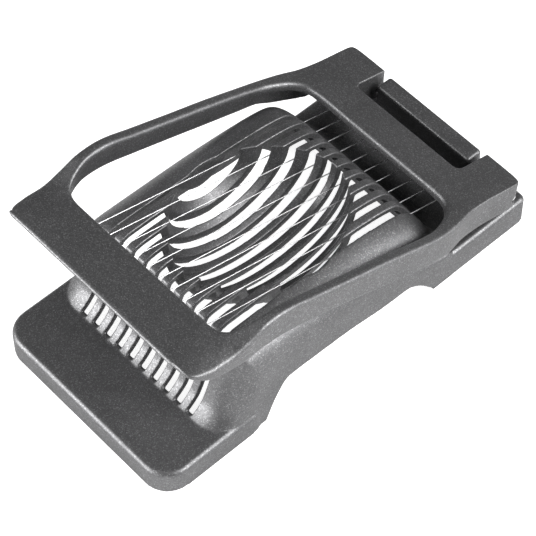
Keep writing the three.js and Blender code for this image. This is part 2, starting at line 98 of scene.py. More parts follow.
def new_material(name):
    """A material with an empty node tree, and its node and link makers."""
    material = bpy.data.materials.new(name)
    material.use_nodes = True
    tree = material.node_tree
    tree.nodes.clear()
    return material, tree.nodes, tree.links


paper, nodes, links = new_material("white_paper")
output = nodes.new("ShaderNodeOutputMaterial")
matte = nodes.new("ShaderNodeBsdfDiffuse")
matte.inputs["Color"].default_value = (0.82, 0.82, 0.82, 1)
glow = nodes.new("ShaderNodeEmission")
rays = nodes.new("ShaderNodeLightPath")
strength = None
for ray, share in (("Is Camera Ray", 0.85), ("Is Transmission Ray", 0.85), ("Is Glossy Ray", 0.2)):
    part = nodes.new("ShaderNodeMath")
    part.operation = "MULTIPLY_ADD"
    part.inputs[1].default_value = share
    part.inputs[2].default_value = 0
    links.new(rays.outputs[ray], part.inputs[0])
    if strength:
        links.new(strength.outputs[0], part.inputs[2])
    strength = part
links.new(strength.outputs[0], glow.inputs["Strength"])
both = nodes.new("ShaderNodeAddShader")
links.new(matte.outputs[0], both.inputs[0])
links.new(glow.outputs[0], both.inputs[1])
links.new(both.outputs[0], output.inputs["Surface"])
floor.data.materials.append(paper)

world = bpy.data.worlds.new("studio")
bpy.context.scene.world = world
world.use_nodes = True
nodes, links = world.node_tree.nodes, world.node_tree.links
nodes.clear()
output = nodes.new("ShaderNodeOutputWorld")
sky = nodes.new("ShaderNodeBackground")
sky.inputs["Color"].default_value = (1, 1, 1, 1)
sky.inputs["Strength"].default_value = 0.19
backdrop = nodes.new("ShaderNodeBackground")
backdrop.inputs["Strength"].default_value = 1.0
rays = nodes.new("ShaderNodeLightPath")
pick = nodes.new("ShaderNodeMixShader")
links.new(rays.outputs["Is Camera Ray"], pick.inputs["Fac"])
links.new(sky.outputs[0], pick.inputs[1])
links.new(backdrop.outputs[0], pick.inputs[2])
links.new(pick.outputs[0], output.inputs["Surface"])


def soft_lamp(name, place, aim, size, watts):
    """A square lamp at one point, turned to face another."""
    light = bpy.data.lights.new(name, "AREA")
    light.size = size
    light.energy = watts
    lamp = bpy.data.objects.new(name, light)
    bpy.context.scene.collection.objects.link(lamp)
    lamp.location = place
    lamp.rotation_euler = (Vector(aim) - Vector(place)).to_track_quat("-Z", "Y").to_euler()
    return lamp


soft_lamp("front_lamp", (-0.48, -0.93, 0.3), (0, 0, 0.02), 0.9, 21)
soft_lamp("side_lamp", (0.76, 0.4, 0.6), (0, 0, 0.02), 0.8, 17)
bpy.context.scene.view_settings.view_transform = "Standard"

# %% [markdown]
# ## Sizes
#
# All sizes are in millimetres in the slicer's own frame: X across it, Y towards the hinge, Z up, with
# the table at zero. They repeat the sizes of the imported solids, so that each fine piece lies in its
# solid. A value that only one piece needs is defined in that piece's cell.

# %% Main sizes
BASE_LENGTH = 142
FRONT_Y = -BASE_LENGTH / 2
REAR_Y = BASE_LENGTH / 2
PLATFORM_WIDTH = 70.8
PLATFORM_HEIGHT = 8.8
PLATFORM_REAR = FRONT_Y + 39
CRADLE_WIDTH = 69.4
CRADLE_HEIGHT = 38.1
FOOT_HEIGHT = 10.3
FOOT_FRONT = REAR_Y - 37.4
WALL = 2.2
WIRE_COUNT = 10
WIRE_PITCH = 5
WIRE_PLACES = [(i - (WIRE_COUNT - 1) / 2) * WIRE_PITCH for i in range(WIRE_COUNT)]
HINGE = Vector((0, REAR_Y - 6.25, 15.05))
ROD_RADIUS = 1
BORE_RADIUS = ROD_RADIUS + 0.3
REST_ANGLE = math.radians(15.24)

# how far a cutting tool reaches past what it cuts, and the smallest distance that counts
OVERRUN = 4
HAIR = 0.01
print("ten wires,", WIRE_PITCH, "mm apart, hinge at", tuple(HINGE))

# %% [markdown]
# ## How a casting is shaped here
#
# A casting has no straight stock in it: every section flows into the next. Such a form can be built
# from a filled circle that is extruded again and again, each new ring put where the section of the
# real piece lies. The helper below does that. It keeps the order of the vertices by following the
# edges from the old ring to the new one.
#
# A casting's small edges are all a little round. They could be bevelled one by one, but where many
# cuts meet, bevels break. So a finished casting gets a new skin of small even squares, which is
# smoothed a few times and then thinned.

# %% A loft made by extruding
def deselect_all():
    if bpy.context.mode != "OBJECT":
        bpy.ops.object.mode_set(mode="OBJECT")
    bpy.ops.object.select_all(action="DESELECT")


def next_ring(mesh, ring, places):
    """Extrudes the selected cap once and puts the new ring at its places. Returns its numbers."""
    bpy.ops.mesh.extrude_region_move()
    shape = bmesh.from_edit_mesh(mesh)
    shape.verts.ensure_lookup_table()
    follow = []
    for number in ring:
        ends = [edge.other_vert(shape.verts[number]) for edge in shape.verts[number].link_edges]
        follow.append(max(end.index for end in ends))
    for number, place in zip(follow, places):
        shape.verts[number].co = Vector(place) * MM
    return follow


def loft(name, rings, closed=False):
    """A solid through rings of equal count. A closed one comes back to its first ring."""
    deselect_all()
    bpy.ops.mesh.primitive_circle_add(vertices=len(rings[0]), fill_type="NGON")
    piece = bpy.context.object
    piece.name = name
    bpy.ops.object.mode_set(mode="EDIT")
    bpy.ops.mesh.select_mode(type="FACE")
    bpy.ops.mesh.select_all(action="SELECT")
    shape = bmesh.from_edit_mesh(piece.data)
    shape.verts.ensure_lookup_table()
    for vertex, place in zip(shape.verts, rings[0]):
        vertex.co = Vector(place) * MM
    ring = list(range(len(rings[0])))
    for places in rings[1:]:
        ring = next_ring(piece.data, ring, places)
    if closed:
        next_ring(piece.data, ring, rings[0])
        drop_caps(piece.data, len(rings[0]))
        bpy.ops.mesh.select_all(action="SELECT")
        bpy.ops.mesh.remove_doubles(threshold=HAIR / 10 * MM)
    bpy.ops.mesh.select_all(action="SELECT")
    bpy.ops.mesh.normals_make_consistent(inside=False)
    bpy.ops.object.mode_set(mode="OBJECT")
    return piece


def drop_caps(mesh, sides):
    """Deletes the two end faces, so that the ends can be joined."""
    bpy.ops.mesh.select_all(action="DESELECT")
    shape = bmesh.from_edit_mesh(mesh)
    for face in shape.faces:
        face.select_set(len(face.verts) == sides)
    bmesh.update_edit_mesh(mesh)
    bpy.ops.mesh.delete(type="ONLY_FACE")


# %% Joining, cutting and softening
def combine(piece, tool, operation):
    """Joins a tool to a piece, or cuts it away, and removes the tool."""
    modifier = piece.modifiers.new("combine", "BOOLEAN")
    modifier.operation = operation
    modifier.solver = "MANIFOLD"
    modifier.object = tool
    deselect_all()
    bpy.context.view_layer.objects.active = piece
    bpy.ops.object.modifier_apply(modifier=modifier.name)
    bpy.data.objects.remove(tool)
    return piece


def count_triangles(piece):
    return sum(len(face.vertices) - 2 for face in piece.data.polygons)


def apply_last(piece):
    bpy.context.view_layer.objects.active = piece
    bpy.ops.object.modifier_apply(modifier=piece.modifiers[-1].name)


MOST_TRIANGLES = 190000


def soften(piece, voxel, passes):
    """Gives a sharp solid the small round edges of a casting."""
    deselect_all()
    skin = piece.modifiers.new("skin", "REMESH")
    skin.mode = "VOXEL"
    skin.voxel_size = voxel * MM
    apply_last(piece)
    rounding = piece.modifiers.new("rounding", "SMOOTH")
    rounding.factor = 0.5
    rounding.iterations = passes
    apply_last(piece)
    before = count_triangles(piece)
    if before > MOST_TRIANGLES:
        thinning = piece.modifiers.new("thinning", "DECIMATE")
        thinning.ratio = MOST_TRIANGLES / before
        apply_last(piece)
    piece.select_set(True)
    bpy.ops.object.shade_smooth()
    print(piece.name, "softened:", before, "triangles thinned to", count_triangles(piece))


# %% [markdown]
# ## The base casting
#
# On the real slicer the base is one die casting: a low platform in front, the slotted egg cradle, a
# foot and an upright bar for the hinge. It could be cut from one block, but its skin flows, so it is
# joined from five blocks: the cradle is where a lengthwise crown and an upright wall meet, and the
# platform, the foot and the bar are boxes with bevelled edges. Then its hollows are cut out.

# %% Curves along the cradle
CROWN_SHARES = [
    (-0.86, 0.893), (-0.577, 0.925), (-0.542, 0.966), (-0.507, 0.99), (-0.451, 0.996), (-0.249, 0.985),
    (-0.068, 0.974), (0.117, 0.946), (0.275, 0.906), (0.366, 0.867), (0.417, 0.822), (0.455, 0.745),
    (0.487, 0.64), (0.513, 0.551), (0.538, 0.462), (0.561, 0.383), (0.582, 0.325), (0.611, 0.289),
    (0.655, 0.265),
]
FRONT_WALL_SHARES = [
    (-0.738, -0.049), (-0.738, 0.219), (-0.722, 0.236), (-0.697, 0.27), (-0.675, 0.31), (-0.654, 0.367),
    (-0.618, 0.532), (-0.587, 0.709), (-0.558, 0.887), (-0.53, 1.063),
]
ARCH_SHARES = [
    (-0.474, -0.4), (-0.459, 0), (-0.439, 0.33), (-0.417, 0.67), (-0.385, 1.04), (-0.357, 1.27),
    (-0.32, 1.35), (-0.17, 1.32), (0, 1.25), (0.16, 1.09), (0.3, 1.05), (0.342, 0.94), (0.389, 0.68),
    (0.438, 0.28), (0.462, 0.04), (0.475, -0.4),
]


def scaled(shares, length_unit, height_unit):
    return [Vector((y * length_unit, z * height_unit)) for y, z in shares]


def smooth_path(points, steps):
    """A curve through the points, as even steps from the first to the last."""
    last = len(points) - 1
    path = []
    for k in range(steps + 1):
        along = last * k / steps
        i = min(int(along), last - 1)
        t = along - i
        a, b, c, d = (points[max(min(i + j, last), 0)] for j in (-1, 0, 1, 2))
        lean_b, lean_c = (c - a) / 2, (d - b) / 2
        path.append((2 * b - 2 * c + lean_b + lean_c) * t ** 3
                    + (3 * c - 3 * b - 2 * lean_b - lean_c) * t ** 2 + lean_b * t + b)
    return path


def offset_path(path, distance):
    """Moves a path to the right of its direction of travel."""
    moved = []
    for k, point in enumerate(path):
        along = (path[min(k + 1, len(path) - 1)] - path[max(k - 1, 0)]).normalized()
        moved.append(Vector((point.x + along.y * distance, point.y - along.x * distance)))
    return moved


crown_path = smooth_path(scaled(CROWN_SHARES, REAR_Y, CRADLE_HEIGHT), 90)
wall_points = scaled(FRONT_WALL_SHARES, REAR_Y, CRADLE_HEIGHT)
wall_path = wall_points[:1] + smooth_path(wall_points[1:], 40)
print("the crown rises to", round(max(p.y for p in crown_path), 1), "mm")

# %% The cradle block
CROWN_FULLNESS = 3.6
CROWN_SIDES = 64
CRADLE_REAR = FOOT_FRONT + 11
FRONT_CORNER = 9
LOW_REAR_CORNER = 4.5
HIGH_REAR_CORNER = 22


def crown_ring(y, top, half_width):
    """A section across the cradle: upright walls under a full, rounded crown."""
    wall_top = top / 2
    ring = [(-half_width, y, -OVERRUN)]
    for k in range(CROWN_SIDES + 1):
        angle = math.pi * (1 - k / CROWN_SIDES)
        across = math.copysign(abs(math.cos(angle)) ** (2 / CROWN_FULLNESS), math.cos(angle))
        rise = max(math.sin(angle), 0) ** (2 / CROWN_FULLNESS)
        ring.append((half_width * across, y, wall_top + (top - wall_top) * rise))
    ring.append((half_width, y, -OVERRUN))
    return ring


def plan_ring(half_width, front, rear, front_radius, rear_radius, z, steps=10):
    """A rectangle with rounded corners, seen from above."""
    corners = [(half_width, front, front_radius, -90), (half_width, rear, rear_radius, 0),
               (-half_width, rear, rear_radius, 90), (-half_width, front, front_radius, 180)]
    ring = []
    for x, y, radius, start in corners:
        centre_x = x - math.copysign(radius, x)
        centre_y = y + (radius if y == front else -radius)
        for k in range(steps + 1):
            angle = math.radians(start + 90 * k / steps)
            ring.append((centre_x + radius * math.cos(angle), centre_y + radius * math.sin(angle), z))
    return ring


def cradle_block(name, inset):
    """The outside of the cradle, or its hollow when it is inset."""
    half_width = CRADLE_WIDTH / 2 - inset
    crown = loft(name, [crown_ring(p.x, p.y, half_width + HAIR) for p in offset_path(crown_path, inset)])
    rings = []
    for p in offset_path(wall_path, inset):
        t = min(max((p.y - FOOT_HEIGHT) / (FOOT_HEIGHT * 0.6), 0), 1)
        ease = t * t * (3 - 2 * t)
        rear_radius = LOW_REAR_CORNER + (HIGH_REAR_CORNER - LOW_REAR_CORNER) * ease - inset
        rings.append(plan_ring(half_width, p.x, CRADLE_REAR - inset, FRONT_CORNER, rear_radius, p.y))
    return combine(crown, loft("upright", rings), "INTERSECT")


base = cradle_block("cradle", 0)
print("cradle block:", count_triangles(base), "triangles")

# %% [markdown]
# ## Platform, foot and hinge bar
#
# The platform, the foot and the bar are low blocks. Each is a cube that is brought to size, and then
# its upright edges and its top edges are bevelled by their own radii, as a pattern maker would file
# them.

# %% Bevelled blocks
def select_edges(mesh, test):
    """Selects the edges whose two ends pass a test, by their places in millimetres."""
    bpy.ops.mesh.select_mode(type="EDGE")
    bpy.ops.mesh.select_all(action="DESELECT")
    shape = bmesh.from_edit_mesh(mesh)
    for edge in shape.edges:
        if test(*(vertex.co / MM for vertex in edge.verts)):
            edge.select_set(True)
    bmesh.update_edit_mesh(mesh)


def block(name, low, high):
    """A cube brought to a box, left in edit mode."""
    deselect_all()
    low, high = Vector(low), Vector(high)
    bpy.ops.mesh.primitive_cube_add(size=1, location=(low + high) / 2 * MM)
    piece = bpy.context.object
    piece.name = name
    bpy.ops.object.mode_set(mode="EDIT")
    bpy.ops.mesh.select_all(action="SELECT")
    bpy.ops.transform.resize(value=(high - low) * MM)
    bpy.ops.object.mode_set(mode="OBJECT")
    bpy.ops.object.transform_apply(location=True, rotation=True, scale=True)
    bpy.ops.object.mode_set(mode="EDIT")
    return piece


UPRIGHT_SEGMENTS = 10
TOP_SEGMENTS = 6


def bevel(radius, segments):
    bpy.ops.mesh.bevel(offset=radius * MM, segments=segments, profile=0.5, clamp_overlap=False)


def low_block(name, half_width, front, rear, height, front_radius, rear_radius, edge):
    """A block with rounded corners and a rounded top edge, that reaches below the table."""
    piece = block(name, (-half_width, front, -OVERRUN), (half_width, rear, height))
    select_edges(piece.data, lambda a, b: abs(a.z - b.z) > height / 2 and a.y < (front + rear) / 2)
    bevel(front_radius, UPRIGHT_SEGMENTS)
    select_edges(piece.data, lambda a, b: abs(a.z - b.z) > height / 2 and abs(a.y - rear) < HAIR
                 and abs(abs(a.x) - half_width) < HAIR)
    bevel(rear_radius, UPRIGHT_SEGMENTS)
    select_edges(piece.data, lambda a, b: min(a.z, b.z) > height - HAIR)
    bevel(edge, TOP_SEGMENTS)
    bpy.ops.object.mode_set(mode="OBJECT")
    return piece


# %% The hinge bar
HINGE_BAR_HALF = 19.1
HINGE_BAR_DEPTH = 6.2
HINGE_BAR_TOP = 21.8
HINGE_BAR_REAR = HINGE.y + BORE_RADIUS + WALL / 2
HINGE_BAR_EDGE = 1.0
HINGE_BAR_LEAN = 0.5


def hinge_bar():
    """The upright bar, wider at its foot in front and leaning in a little at the rear."""
    piece = block("bar", (-HINGE_BAR_HALF, HINGE_BAR_REAR - HINGE_BAR_DEPTH, FOOT_HEIGHT - WALL),
                  (HINGE_BAR_HALF, HINGE_BAR_REAR, HINGE_BAR_TOP))
    shape = bmesh.from_edit_mesh(piece.data)
    for vertex in shape.verts:
        in_front = vertex.co.y / MM < HINGE_BAR_REAR - HINGE_BAR_DEPTH / 2
        low = vertex.co.z / MM < HINGE.z
        if in_front and low:
            vertex.co.y -= HINGE_BAR_EDGE * MM
        if not in_front and not low:
            vertex.co.y -= HINGE_BAR_LEAN * MM
    bmesh.update_edit_mesh(piece.data)
    select_edges(piece.data, lambda a, b: max(a.z, b.z) > HINGE_BAR_TOP - HINGE_BAR_EDGE)
    bevel(HINGE_BAR_EDGE, 4)
    bpy.ops.object.mode_set(mode="OBJECT")
    return piece


bar = hinge_bar()
print("hinge bar:", 2 * HINGE_BAR_HALF, "mm wide")

# %% Joining the outside of the base
PLATFORM_CORNER = 8.4
PLATFORM_REAR_CORNER = 6
FOOT_HALF = CRADLE_WIDTH / 2 - 0.2
platform = low_block("platform", PLATFORM_WIDTH / 2, FRONT_Y, PLATFORM_REAR, PLATFORM_HEIGHT,
                     PLATFORM_CORNER, PLATFORM_REAR_CORNER, edge=1.6)
foot = low_block("foot", FOOT_HALF, FOOT_FRONT, REAR_Y, FOOT_HEIGHT,
                 front_radius=3.1, rear_radius=2.2, edge=1.4)
for part in (platform, foot, bar):
    combine(base, part, "UNION")
print("outside of the base:", count_triangles(base), "triangles")

# %% [markdown]
# ## The hollow underside
#
# A die casting has walls of even thickness. So the block is hollowed from below, and the shell of the
# egg hollow is kept: its wall is a larger egg that is taken out of the cutting tool first.

# %% The egg hollow and its shell
EGG_HALF_WIDTH = 49.1 / 2
EGG_HALF_LENGTH = 58.1 / 2
EGG_DEPTH = 18.9
EGG_CENTRE = Vector((0, -3.7, CRADLE_HEIGHT - 3))
EGG_TILT = math.radians(7.1)
EGG_SIDES = 96
FULLNESS_ACROSS = 1.925
FULLNESS_ALONG = 2.1
FULLNESS_IN_PLAN = 1.68


def egg(name, grow=(0, 0, 0)):
    """Rings that widen from the bottom to the rim, then an upright mouth."""
    half_width, half_length = EGG_HALF_WIDTH + grow[0], EGG_HALF_LENGTH + grow[1]
    depth = EGG_DEPTH + grow[2]
    tilt = Matrix.Rotation(-EGG_TILT, 3, "X")
    levels = [math.cos((k + 0.4) / 28.4 * math.pi / 2) for k in range(29)]
    sizes = [((1 - d ** FULLNESS_ACROSS) ** (1 / FULLNESS_ACROSS),
              (1 - d ** FULLNESS_ALONG) ** (1 / FULLNESS_ALONG), -depth * d) for d in levels]
    rings = []
    for across, along, z in sizes + [(1, 1, CRADLE_HEIGHT / 2)]:
        ring = []
        for k in range(EGG_SIDES):
            angle = 2 * math.pi * k / EGG_SIDES
            x, y = (math.copysign(abs(part) ** (2 / FULLNESS_IN_PLAN), part)
                    for part in (math.cos(angle), math.sin(angle)))
            ring.append(tilt @ Vector((half_width * across * x, half_length * along * y, z)) + EGG_CENTRE)
        rings.append(ring)
    return loft(name, rings)


print("the egg hollow is", 2 * EGG_HALF_WIDTH, "by", 2 * EGG_HALF_LENGTH, "mm")

# %% Cutting out the underside
CROWN_WALL = 1.9
FOOT_SHELF = 4.9
SHELL_WALLS = (1.8, 2.2, 2.8)
cavity = cradle_block("cavity", CROWN_WALL)
foot_top = block("foot_top", (-PLATFORM_WIDTH, FOOT_FRONT + FOOT_SHELF, -OVERRUN - 1),
                 (PLATFORM_WIDTH, REAR_Y, FOOT_HEIGHT))
bpy.ops.object.mode_set(mode="OBJECT")
combine(cavity, foot_top, "DIFFERENCE")
combine(cavity, low_block("under_platform", PLATFORM_WIDTH / 2 - WALL, FRONT_Y + WALL,
                          PLATFORM_REAR - WALL, PLATFORM_HEIGHT - WALL, PLATFORM_CORNER - WALL,
                          PLATFORM_REAR_CORNER - WALL, edge=0.8), "UNION")
combine(cavity, low_block("under_foot", FOOT_HALF - WALL, FOOT_FRONT + WALL, REAR_Y - WALL,
                          FOOT_HEIGHT - WALL, front_radius=0.9, rear_radius=0.4, edge=0.2), "UNION")
combine(cavity, egg("shell", SHELL_WALLS), "DIFFERENCE")
combine(base, cavity, "DIFFERENCE")
combine(base, egg("hollow"), "DIFFERENCE")
print("hollowed base:", count_triangles(base), "triangles")

# %% [markdown]
# ## Arch, slots and hinge bore
#
# The arch between platform and foot is one outline pulled through from side to side. One slot cutter
# is modelled, from three blades: one for the front wall, one for the bowl, which is a little narrower
# at its top, and one for the slot's toe on the platform. It is copied to each wire's place.

# %% Cutting the arch, the slots and the bore
arch_points = scaled(ARCH_SHARES, REAR_Y, FOOT_HEIGHT)
arch_outline = smooth_path(arch_points, 60)
arch = loft("arch", [[(x, p.x, p.y) for p in arch_outline] for x in (-PLATFORM_WIDTH, PLATFORM_WIDTH)])
combine(base, arch, "DIFFERENCE")

SLOT_FLOOR = FOOT_HEIGHT + 2.6
SLOT_WIDTH_IN_FRONT = 2.3
SLOT_WIDTH_AT_BOWL = 3.0
SLOT_WIDTH_AT_RIM = 2.15
SLOT_REAR = REAR_Y - 18.7
CREST_Y = EGG_CENTRE.y - EGG_HALF_LENGTH


def slot_cutter(low_y, high_y, floor_z, low_width, high_width):
    """A blade with one width at the slot's floor and another above the cradle."""
    piece = block("slot", (-0.5, low_y, floor_z), (0.5, high_y, CRADLE_HEIGHT + OVERRUN))
    shape = bmesh.from_edit_mesh(piece.data)
    for vertex in shape.verts:
        vertex.co.x *= high_width if vertex.co.z / MM > CRADLE_HEIGHT else low_width
    bmesh.update_edit_mesh(piece.data)
    bpy.ops.object.mode_set(mode="OBJECT")
    return piece


fin = slot_cutter(FRONT_Y * 0.704, CREST_Y, -OVERRUN, SLOT_WIDTH_IN_FRONT, SLOT_WIDTH_IN_FRONT)
bowl_fin = slot_cutter(CREST_Y - OVERRUN, SLOT_REAR, SLOT_FLOOR, SLOT_WIDTH_AT_BOWL, SLOT_WIDTH_AT_RIM)
combine(fin, bowl_fin, "UNION")
toe_fin = slot_cutter(FRONT_Y * 0.742, CREST_Y, PLATFORM_HEIGHT + 0.1,
                      SLOT_WIDTH_IN_FRONT, SLOT_WIDTH_IN_FRONT)
combine(fin, toe_fin, "UNION")
for x in WIRE_PLACES:
    copy = fin.copy()
    copy.data = fin.data.copy()
    bpy.context.scene.collection.objects.link(copy)
    copy.data.transform(Matrix.Translation((x * MM, 0, 0)))
    combine(base, copy, "DIFFERENCE")
bpy.data.objects.remove(fin)


def rod_shape(name, radius, half_length, sides=48):
    """A round bar along X through the hinge, made from a filled circle."""
    ring = [(radius * math.cos(2 * math.pi * k / sides), radius * math.sin(2 * math.pi * k / sides))
            for k in range(sides)]
    return loft(name, [[(x, HINGE.y + y, HINGE.z + z) for y, z in ring]
                       for x in (-half_length, half_length)])


combine(base, rod_shape("bore", BORE_RADIUS, HINGE_BAR_HALF + OVERRUN), "DIFFERENCE")
below = block("below", (-PLATFORM_WIDTH, FRONT_Y - OVERRUN, -OVERRUN * 2),
              (PLATFORM_WIDTH, REAR_Y + OVERRUN, 0))
bpy.ops.object.mode_set(mode="OBJECT")
combine(base, below, "DIFFERENCE")
soften(base, voxel=0.3, passes=4)
base.name = "base_casting_skin"

# %% [markdown]
# ## The lid frame
#
# The lid is the second die casting: a crossbar at the hinge, two arched arms and the front bar, in
# one ring. Its section changes all the way round, from a wide flat plate to a tall narrow arm. It
# could be made from separate bars, but on the real lid one flows into the next. So it is one loft
# that closes on itself, through sections read at 22 stations of its right half and mirrored.

# %% Stations round the right half of the lid
LID_REACH = 132
LID_HALF = 38.8
ARM_INNER = 35.2
ARCH_HEIGHT = 14
LID_EDGE = 1.1
CHEEK_HALF = 0.906 * LID_HALF

# inner x and reach, outer x and reach, inner and outer top, inner and outer bottom, top rounding
LID_STATIONS = [
    (0, 0.192, 0, 0.001, 0.534, 0.534, -0.22, -0.22, 0.5),
    (0.37, 0.192, 0.443, 0.001, 0.534, 0.534, -0.22, -0.22, 0.5),
    (0.625, 0.192, 0.801, 0.001, 0.534, 0.534, -0.22, -0.22, 0.5),
    (0.71, 0.193, 0.886, 0.005, 0.534, 0.534, -0.22, -0.22, 0.5),
    (0.779, 0.196, 0.906, 0.02, 0.534, 0.534, -0.22, -0.22, 0.5),
    (0.847, 0.206, 0.907, 0.105, 0.534, 0.534, -0.22, -0.23, 0.8),
    (0.909, 0.226, 0.923, 0.169, 0.534, 0.534, -0.1, -0.26, 1),
    (0.958, 0.256, 0.967, 0.226, 0.534, 0.534, 0.05, -0.29, 1.1),
    (0.986, 0.287, 0.993, 0.275, 0.54, 0.54, 0.12, -0.2, 1.2),
    (1, 0.34, 1, 0.34, 0.6, 0.6, 0.13, -0.16, 1.2),
    (1, 0.453, 1, 0.453, 0.73, 0.73, 0.21, -0.01, 1.2),
    (1, 0.559, 1, 0.559, 0.82, 0.82, 0.29, 0.13, 1.2),
    (1, 0.666, 1, 0.666, 0.92, 0.92, 0.37, 0.24, 1.2),
    (1, 0.749, 1, 0.756, 1, 1, 0.42, 0.28, 1.2),
    (0.992, 0.806, 1, 0.817, 0.94, 0.87, 0.36, 0.2, 1.3),
    (0.972, 0.836, 1, 0.859, 0.8, 0.61, 0.24, 0.08, 1.3),
    (0.926, 0.86, 0.997, 0.9, 0.66, 0.41, 0.12, 0.06, 1.3),
    (0.857, 0.874, 0.99, 0.953, 0.57, 0.34, 0.08, 0.1, 1.2),
    (0.784, 0.878, 0.948, 0.991, 0.54, 0.34, 0.08, 0.24, 1),
    (0.682, 0.879, 0.846, 1, 0.54, 0.36, 0.08, 0.26, 1),
    (0.34, 0.879, 0.417, 1, 0.54, 0.37, 0.08, 0.26, 1),
    (0, 0.879, 0, 1, 0.54, 0.37, 0.08, 0.26, 1),
]


def on_lid(x, reach, height):
    """A point of the lid, from the hinge axis outwards, in the pose of the photograph."""
    return Vector((x,
                   HINGE.y - reach * math.cos(REST_ANGLE) + height * math.sin(REST_ANGLE),
                   HINGE.z + reach * math.sin(REST_ANGLE) + height * math.cos(REST_ANGLE)))


def smooth_rows(rows, knots, steps):
    """Rows between the stations, smooth over the distance run round the frame."""
    last = len(rows) - 1

    def slope(i):
        a, b = max(i - 1, 0), min(i + 1, last)
        return [(q - p) / (knots[b] - knots[a]) for p, q in zip(rows[a], rows[b])]

    result = []
    for i in range(last):
        span = knots[i + 1] - knots[i]
        for step in range(steps):
            t = step / steps
            start, finish = 2 * t ** 3 - 3 * t ** 2 + 1, 3 * t ** 2 - 2 * t ** 3
            leave, arrive = (t ** 3 - 2 * t ** 2 + t) * span, (t ** 3 - t ** 2) * span
            result.append([start * p + leave * u + finish * q + arrive * v for p, q, u, v
                           in zip(rows[i], rows[i + 1], slope(i), slope(i + 1))])
    return result + [rows[last]]


LID_UNITS = (ARM_INNER, LID_REACH, LID_HALF, LID_REACH, *[ARCH_HEIGHT] * 4, LID_EDGE)
rows = [tuple(share * unit for share, unit in zip(station, LID_UNITS)) for station in LID_STATIONS]
knots = [0.0]
for a, b in zip(rows, rows[1:]):
    knots.append(knots[-1] + (math.dist(a[:2], b[:2]) + math.dist(a[2:4], b[2:4])) / 2)
right_rows = smooth_rows(rows, knots, 6)
left_rows = [[-row[0], row[1], -row[2], *row[3:]] for row in right_rows[-2:0:-1]]
print("the lid's section is known at", len(right_rows) + len(left_rows), "places")


# %% The ring of the lid
HINGE_WALL = 3.4
HINGE_LEAN = 2.3
SIDE_SHARE = 0.42
ROUNDING_STEPS = 5


def rounded_section(row):
    """The four-sided section of the lid at one place, with its corners rounded."""
    xi, yi, xo, yo, top_inner, top_outer, bottom_inner, bottom_outer, outer_edge = row
    lean = HINGE_LEAN * max(0, 1 - yo / HINGE_WALL)
    corners = [(Vector((xi, yi, bottom_inner)), LID_EDGE),
               (Vector((xo, yo - lean, bottom_outer)), LID_EDGE),
               (Vector((xo, yo, top_outer)), outer_edge),
               (Vector((xi, yi, top_inner)), 1.6 * LID_EDGE)]
    ring = []
    for k, (corner, edge) in enumerate(corners):
        before, after = corners[k - 1][0] - corner, corners[(k + 1) % 4][0] - corner
        radius = min(edge, SIDE_SHARE * before.length, SIDE_SHARE * after.length)
        start, finish = corner + before.normalized() * radius, corner + after.normalized() * radius
        for step in range(ROUNDING_STEPS + 1):
            t = step / ROUNDING_STEPS
            ring.append(on_lid(*(start * (1 - t) ** 2 + corner * 2 * t * (1 - t) + finish * t * t)))
    return ring


lid = loft("lid_frame_skin", [rounded_section(row) for row in right_rows + left_rows], closed=True)
print("ring of the lid:", count_triangles(lid), "triangles")

# %% [markdown]
# ## Hollows of the lid, and the pegs for the wires
#
# Underneath, the crossbar and the front bar are hollow, so that the walls stay thin. Small pegs are
# cast on inside, one for each end of a wire. They are hidden in the photograph, so they are plain
# round posts, as wide as the loop of the wire needs.

# %% Cutting the notch and the hollows
LID_PLATE = 2.8
ROOF = 0.534 * ARCH_HEIGHT - LID_PLATE
NOTCH_HALF = HINGE_BAR_HALF + 2.2
NOTCH_REACH = 13.05
CROSSBAR_REACH = 25.4
CHEEK_WALL = 2.4
CHEEK_INNER = CHEEK_HALF - CHEEK_WALL
LOOP_RADIUS = 1.57
WIRE_HEIGHT = 0.54


def lid_prism(name, outline, low, high):
    """An outline of x and reach, drawn on the lid and pulled up from one height to another."""
    return loft(name, [[on_lid(x, reach, height) for x, reach in outline] for height in (low, high)])


def oblong(x_low, x_high, near, far):
    return [(x_low, near), (x_low, far), (x_high, far), (x_high, near)]


notch_outline = [(x, -y) for x, y, z in plan_ring(NOTCH_HALF, -NOTCH_REACH, OVERRUN * 2, 2, 2, 0)]
combine(lid, lid_prism("notch", notch_outline, -ARCH_HEIGHT, ARCH_HEIGHT * 2), "DIFFERENCE")
under_plate = NOTCH_REACH + WALL
combine(lid, lid_prism("below", oblong(-CHEEK_INNER, CHEEK_INNER, under_plate,
                                        CROSSBAR_REACH + OVERRUN),
                       -ARCH_HEIGHT, ROOF), "DIFFERENCE")
SKIRT_LENGTH = 30
skirt = [(CHEEK_INNER + (LID_HALF - CHEEK_WALL - CHEEK_INNER) * out, under_plate + along * SKIRT_LENGTH)
         for along, out in [(0, 0.08), (0.14, 0.1), (0.3, 0.42), (0.46, 0.82), (0.62, 0.98), (1, 1)]]
combine(lid, lid_prism("skirt", skirt + [(-x, reach) for x, reach in reversed(skirt)],
                       -ARCH_HEIGHT, ROOF), "DIFFERENCE")
for side in (-1, 1):
    near, far = sorted((side * (NOTCH_HALF + WALL), side * CHEEK_INNER))
    combine(lid, lid_prism("cheek", oblong(near, far, HINGE_WALL, under_plate + WALL),
                           -ARCH_HEIGHT, ROOF), "DIFFERENCE")
print("crossbar hollowed:", count_triangles(lid), "triangles")

# %% Hollowing the front bar
BAR_HALF = WIRE_PITCH * WIRE_COUNT / 2 + LOOP_RADIUS
BAR_FRONT_TOP = 0.37 * ARCH_HEIGHT
BAR_ROOF = 0.54 * ARCH_HEIGHT - LID_PLATE


